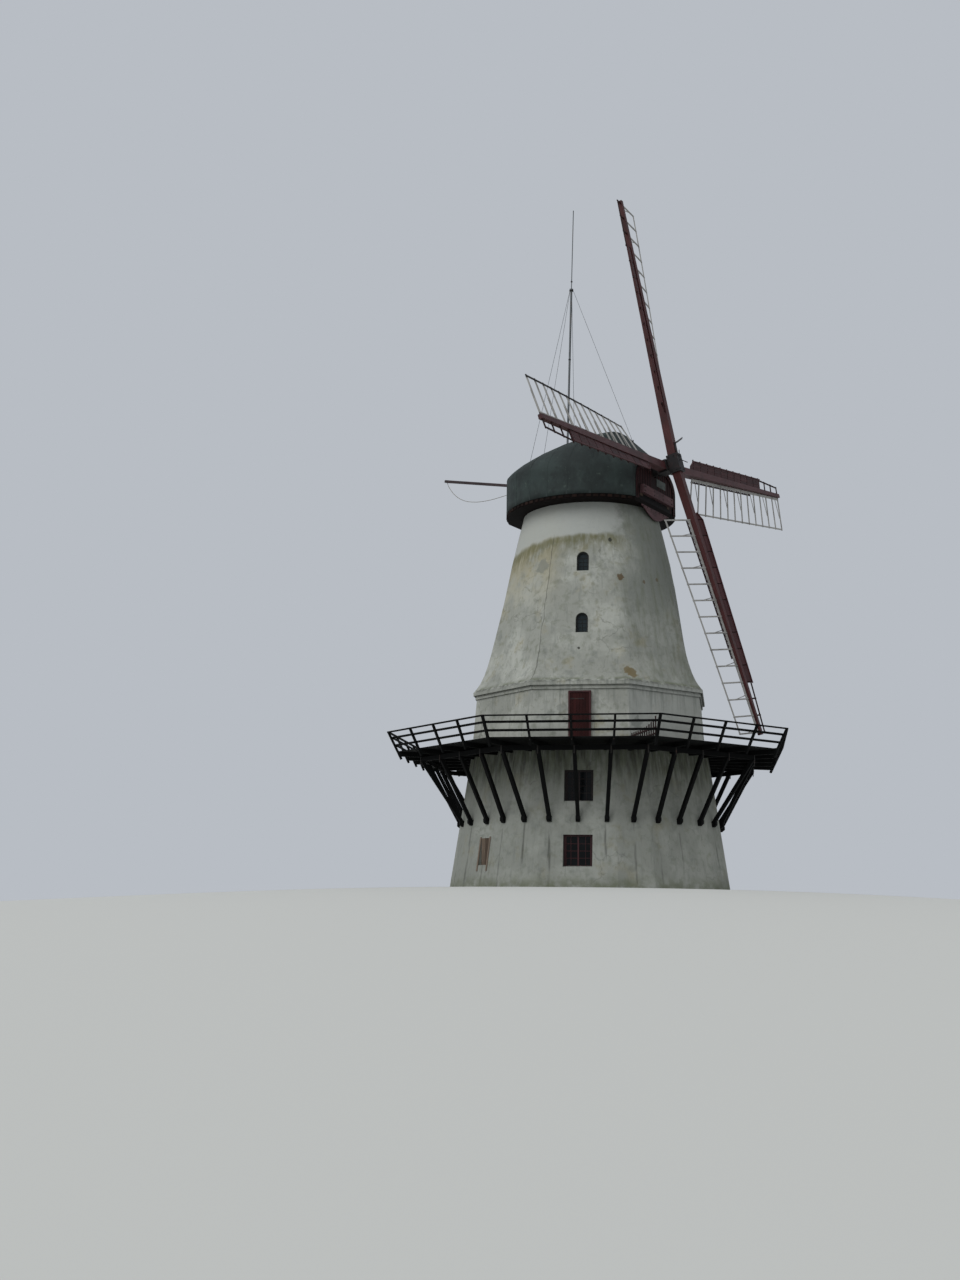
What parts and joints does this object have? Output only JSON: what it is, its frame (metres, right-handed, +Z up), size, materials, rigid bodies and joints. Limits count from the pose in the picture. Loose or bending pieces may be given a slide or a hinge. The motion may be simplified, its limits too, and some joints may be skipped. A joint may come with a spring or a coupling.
{
  "type": "tower windmill",
  "caption": "Tower windmill with a timber gallery, a turning cap and turning lattice sails.",
  "frame": {"origin": "on the tower's axis at ground level, on the underside of the ground floor", "axes": "+Z up along the tower's axis, -Y towards the front face with the windows over each other, +X to the right when looking at the front"},
  "size_m": [17.8791, 23.8575, 33.0764],
  "materials": {
    "wall_render": "rough",
    "bare_timber": "rough",
    "window_paint": "satin",
    "window_glass": "gloss",
    "red_timber": "satin",
    "tarred_timber": "rough",
    "pale_timber": "rough",
    "roof_felt": "rough",
    "mauve_timber": "rough",
    "rope_fibre": "rough",
    "zinc_steel": "satin",
    "shaft_iron": "rough"
  },
  "bodies": {
    "tower": {"ground_floor": "bare_timber", "upper_floors": "bare_timber", "lower_wall_front": "wall_render", "lower_wall_right": "wall_render", "lower_wall_back": "wall_render", "lower_wall_left": "wall_render", "tower_wall_front": "wall_render", "tower_wall_right": "wall_render", "tower_wall_back": "wall_render", "tower_wall_left": "wall_render", "lower_window_frames": "window_paint", "tower_window_frames": "window_paint", "window_glass": "window_glass", "door_frames": "red_timber", "gallery_doors": "red_timber", "ground_door": "red_timber", "wall_hatch": "bare_timber", "gallery_deck": "tarred_timber", "gallery_joists": "tarred_timber", "ring_beam": "tarred_timber", "front_struts": "tarred_timber", "back_struts": "tarred_timber", "strut_shoes": "tarred_timber", "corner_posts": "tarred_timber", "railing_front": "tarred_timber", "railing_front_right": "tarred_timber", "railing_right": "tarred_timber", "railing_back_right": "tarred_timber", "railing_back": "tarred_timber", "railing_back_left": "tarred_timber", "railing_left": "tarred_timber", "railing_front_left": "tarred_timber", "picket_fence": "pale_timber", "curb_ring": "bare_timber"},
    "cap": {"cap_frame": "bare_timber", "cap_skirt": "red_timber", "cap_roof": "roof_felt", "front_boards": "red_timber", "rear_boards": "red_timber", "front_beams": "mauve_timber", "front_apron": "mauve_timber", "brake_lever": "red_timber", "brake_rope": "rope_fibre", "mast": "zinc_steel", "mast_stays": "zinc_steel"},
    "sails": {"windshaft": "shaft_iron", "sail_hub": "shaft_iron", "outer_stock": "red_timber", "inner_stock": "red_timber", "sail_boards": "red_timber", "sail_lattice_1": "pale_timber", "sail_lattice_2": "pale_timber", "sail_lattice_3": "pale_timber", "sail_lattice_4": "pale_timber"}
  },
  "joints": [
    {"name": "cap_turn", "type": "hinge", "parent": "tower", "child": "cap", "pos_m": [0, 0, 17.37], "axis": [0, 0, 1], "continuous": true},
    {"name": "sail_turn", "type": "hinge", "parent": "cap", "child": "sails", "pos_m": [3.8058, -1.65481, 19.195], "axis": [0.8993, -0.391, 0.1959], "continuous": true}
  ]
}
